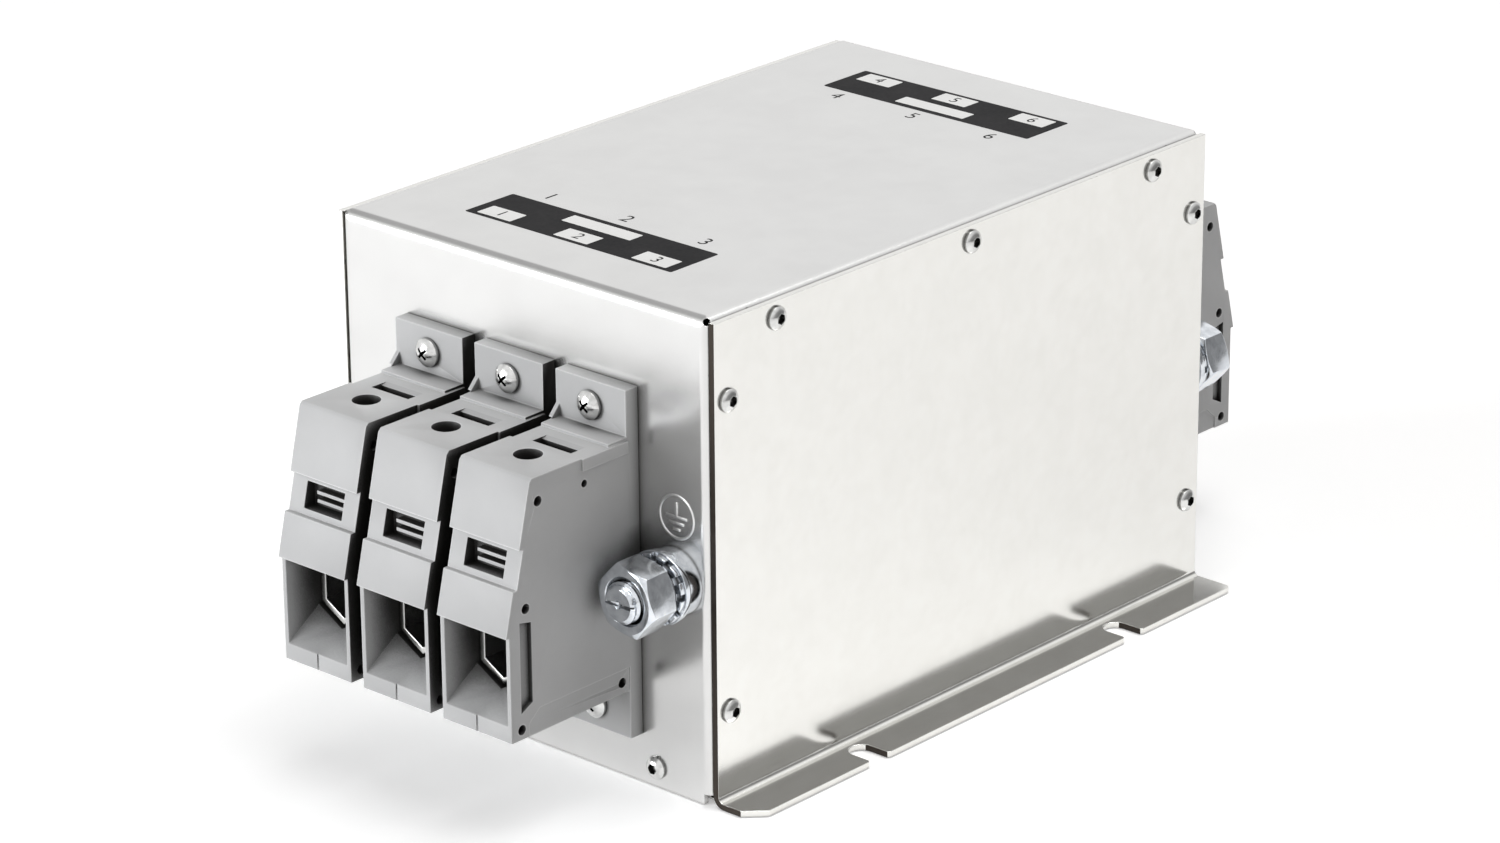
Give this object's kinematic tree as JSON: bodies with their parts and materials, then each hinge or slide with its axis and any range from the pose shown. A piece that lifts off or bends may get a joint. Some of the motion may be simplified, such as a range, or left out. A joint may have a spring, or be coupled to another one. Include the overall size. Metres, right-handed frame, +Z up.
{
  "type": "emi line filter",
  "caption": "Three-phase line filter in a folded steel housing with slotted side flanges, screw-clamp terminal blocks and an earth stud at each end.",
  "frame": {"origin": "centre of the housing's underside, on the mounting surface", "axes": "+Y along the housing from the line side to the load side, +X to the right seen from the line side, +Z up"},
  "size_m": [0.143, 0.2682, 0.1195],
  "materials": {
    "sheet_steel_cover": "satin rolled stainless sheet",
    "sheet_steel_side": "satin rolled stainless sheet, smoother than the cover",
    "sheet_steel_base": "satin rolled stainless sheet",
    "screw_steel": "bright zinc-plated steel",
    "terminal_plastic": "fine-textured light grey moulded polyamide",
    "cage_steel": "plated steel strip",
    "copper_bar": "tin-plated copper where it meets the wire",
    "enamelled_wire": "clear enamelled copper",
    "zinc_steel": "bright zinc-plated steel",
    "ferrite": "coated magnetic core",
    "inner_plastic": "moulded insulator",
    "strap_steel": "zinc-plated strip",
    "liner_sheet": "fibre-filled insulating sheet",
    "board_laminate": "glass-fibre laminate with solder resist",
    "sleeve_tin": "tinned copper",
    "resistor_body": "lacquered ceramic",
    "x_capacitor_case": "moulded box",
    "y_capacitor_case": "moulded box"
  },
  "bodies": {
    "root": {"cover": "sheet_steel_cover", "side_panel_right": "sheet_steel_side", "side_panel_left": "sheet_steel_side", "base_plate": "sheet_steel_base", "side_screws": "screw_steel", "base_screws": "screw_steel", "terminal_screws": "screw_steel", "clamp_screws": "screw_steel", "board_screws": "screw_steel", "strap_screws": "screw_steel", "terminal_front_1": "terminal_plastic", "clamp_cage_front_1": "cage_steel", "bus_bar_front_1": "copper_bar", "choke_winding_front_1": "enamelled_wire", "terminal_front_2": "terminal_plastic", "clamp_cage_front_2": "cage_steel", "bus_bar_front_2": "copper_bar", "choke_winding_front_2": "enamelled_wire", "terminal_front_3": "terminal_plastic", "clamp_cage_front_3": "cage_steel", "bus_bar_front_3": "copper_bar", "choke_winding_front_3": "enamelled_wire", "terminal_rear_1": "terminal_plastic", "clamp_cage_rear_1": "cage_steel", "bus_bar_rear_1": "copper_bar", "choke_winding_rear_1": "enamelled_wire", "terminal_rear_2": "terminal_plastic", "clamp_cage_rear_2": "cage_steel", "bus_bar_rear_2": "copper_bar", "choke_winding_rear_2": "enamelled_wire", "terminal_rear_3": "terminal_plastic", "clamp_cage_rear_3": "cage_steel", "bus_bar_rear_3": "copper_bar", "choke_winding_rear_3": "enamelled_wire", "earth_stud_front": "zinc_steel", "choke_core_front": "ferrite", "choke_saddle_front": "inner_plastic", "choke_strap_front": "strap_steel", "earth_stud_rear": "zinc_steel", "choke_core_rear": "ferrite", "choke_saddle_rear": "inner_plastic", "choke_strap_rear": "strap_steel", "earth_washers": "zinc_steel", "earth_lock_washers": "zinc_steel", "earth_nuts": "zinc_steel", "insulating_liner": "liner_sheet", "circuit_board": "board_laminate", "board_brackets": "strap_steel", "splice_sleeves": "sleeve_tin", "bleed_resistors": "resistor_body", "x_capacitor_1": "x_capacitor_case", "x_capacitor_2": "x_capacitor_case", "x_capacitor_3": "x_capacitor_case", "x_capacitor_4": "x_capacitor_case", "x_capacitor_5": "x_capacitor_case", "x_capacitor_6": "x_capacitor_case", "y_capacitor_1": "y_capacitor_case", "y_capacitor_2": "y_capacitor_case", "y_capacitor_3": "y_capacitor_case"}
  },
  "joints": []
}
